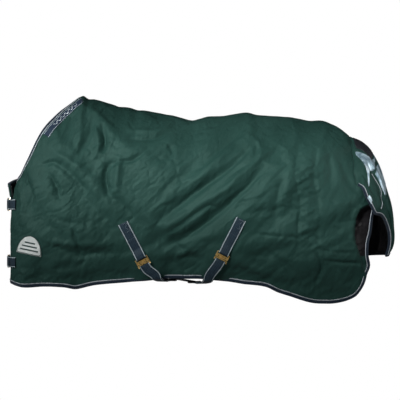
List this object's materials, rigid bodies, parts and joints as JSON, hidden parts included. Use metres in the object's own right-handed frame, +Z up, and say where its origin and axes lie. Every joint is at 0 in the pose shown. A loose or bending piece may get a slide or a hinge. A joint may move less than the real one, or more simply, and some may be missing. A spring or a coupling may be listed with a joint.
{
  "type": "horse turnout rug",
  "caption": "Padded turnout rug for a horse: wrapped chest, open neck, hanging sides, crossed belly webbing with brass T-hooks, and a lifting tail flap.",
  "frame": {"origin": "underside of the lining at the dip of the back, on the centre line, where the horse's back holds the rug", "axes": "+X from the chest towards the tail, -Y the near (left) side of the horse, +Z up"},
  "size_m": [1.8519, 0.6071, 0.9847],
  "materials": {
    "outer_fabric": "matte",
    "fibre_fill": "matte",
    "lining_fabric": "satin",
    "binding_tape": "matte",
    "piping_cord": "satin",
    "label_band": "satin",
    "badge_patch": "satin",
    "webbing": "matte",
    "brass_hardware": "satin",
    "slider_plastic": "matte",
    "reflective_print": "satin"
  },
  "bodies": {
    "rug": {"near_outer_shell": "outer_fabric", "far_outer_shell": "outer_fabric", "near_fibre_fill": "fibre_fill", "far_fibre_fill": "fibre_fill", "near_lining": "lining_fabric", "far_lining": "lining_fabric", "spine_seam_tape": "outer_fabric", "chest_underlap": "outer_fabric", "near_hem_binding": "binding_tape", "far_hem_binding": "binding_tape", "near_hem_piping": "piping_cord", "far_hem_piping": "piping_cord", "near_neck_binding": "binding_tape", "far_neck_binding": "binding_tape", "near_neck_piping": "piping_cord", "far_neck_piping": "piping_cord", "neck_label_band": "label_band", "chest_badge": "badge_patch", "upper_chest_strap": "webbing", "lower_chest_strap": "webbing", "upper_chest_tab": "webbing", "lower_chest_tab": "webbing", "upper_chest_catch_plate": "brass_hardware", "lower_chest_catch_plate": "brass_hardware", "front_anchor_strap": "webbing", "rear_anchor_strap": "webbing", "front_catch_plate": "brass_hardware", "rear_catch_plate": "brass_hardware", "front_belly_webbing": "webbing", "rear_belly_webbing": "webbing"},
    "tail_flap": {"tail_flap_shell": "outer_fabric", "tail_flap_lining": "lining_fabric", "tail_flap_binding": "binding_tape", "tail_flap_piping": "piping_cord", "upper_reflective_band": "reflective_print", "lower_reflective_band": "reflective_print", "tail_flap_wing_tab": "reflective_print"},
    "front_t_hook": {"front_t_hook": "brass_hardware"},
    "rear_t_hook": {"rear_t_hook": "brass_hardware"},
    "upper_chest_t_hook": {"upper_chest_t_hook": "brass_hardware"},
    "lower_chest_t_hook": {"lower_chest_t_hook": "brass_hardware"},
    "front_strap_slider": {"front_strap_slider": "slider_plastic"},
    "rear_strap_slider": {"rear_strap_slider": "slider_plastic"}
  },
  "joints": [
    {"name": "tail_flap_lift", "type": "hinge", "parent": "rug", "child": "tail_flap", "pos_m": [0.762, 0, -0.054], "axis": [0, -1, 0], "range_deg": [0, 100]},
    {"name": "front_t_hook_swing", "type": "hinge", "parent": "rug", "child": "front_t_hook", "pos_m": [-0.21497, -0.27859, -0.66478], "axis": [0.8878, -0.0481, 0.4577], "range_deg": [0, 100]},
    {"name": "rear_t_hook_swing", "type": "hinge", "parent": "rug", "child": "rear_t_hook", "pos_m": [0.1292, -0.29228, -0.64289], "axis": [0.891, 0.0475, -0.4515], "range_deg": [0, 100]},
    {"name": "upper_chest_t_hook_swing", "type": "hinge", "parent": "rug", "child": "upper_chest_t_hook", "pos_m": [-0.88159, -0.015, -0.386], "axis": [0, 0, 1], "range_deg": [0, 100]},
    {"name": "lower_chest_t_hook_swing", "type": "hinge", "parent": "rug", "child": "lower_chest_t_hook", "pos_m": [-0.88116, -0.015, -0.658], "axis": [0, 0, 1], "range_deg": [0, 100]},
    {"name": "front_strap_slider_slide", "type": "slide", "parent": "rug", "child": "front_strap_slider", "axis": [0.3686, 0.9296, 0], "range_m": [-0.05, 0.08]},
    {"name": "rear_strap_slider_slide", "type": "slide", "parent": "rug", "child": "rear_strap_slider", "axis": [-0.3686, 0.9296, 0], "range_m": [-0.05, 0.08]}
  ]
}
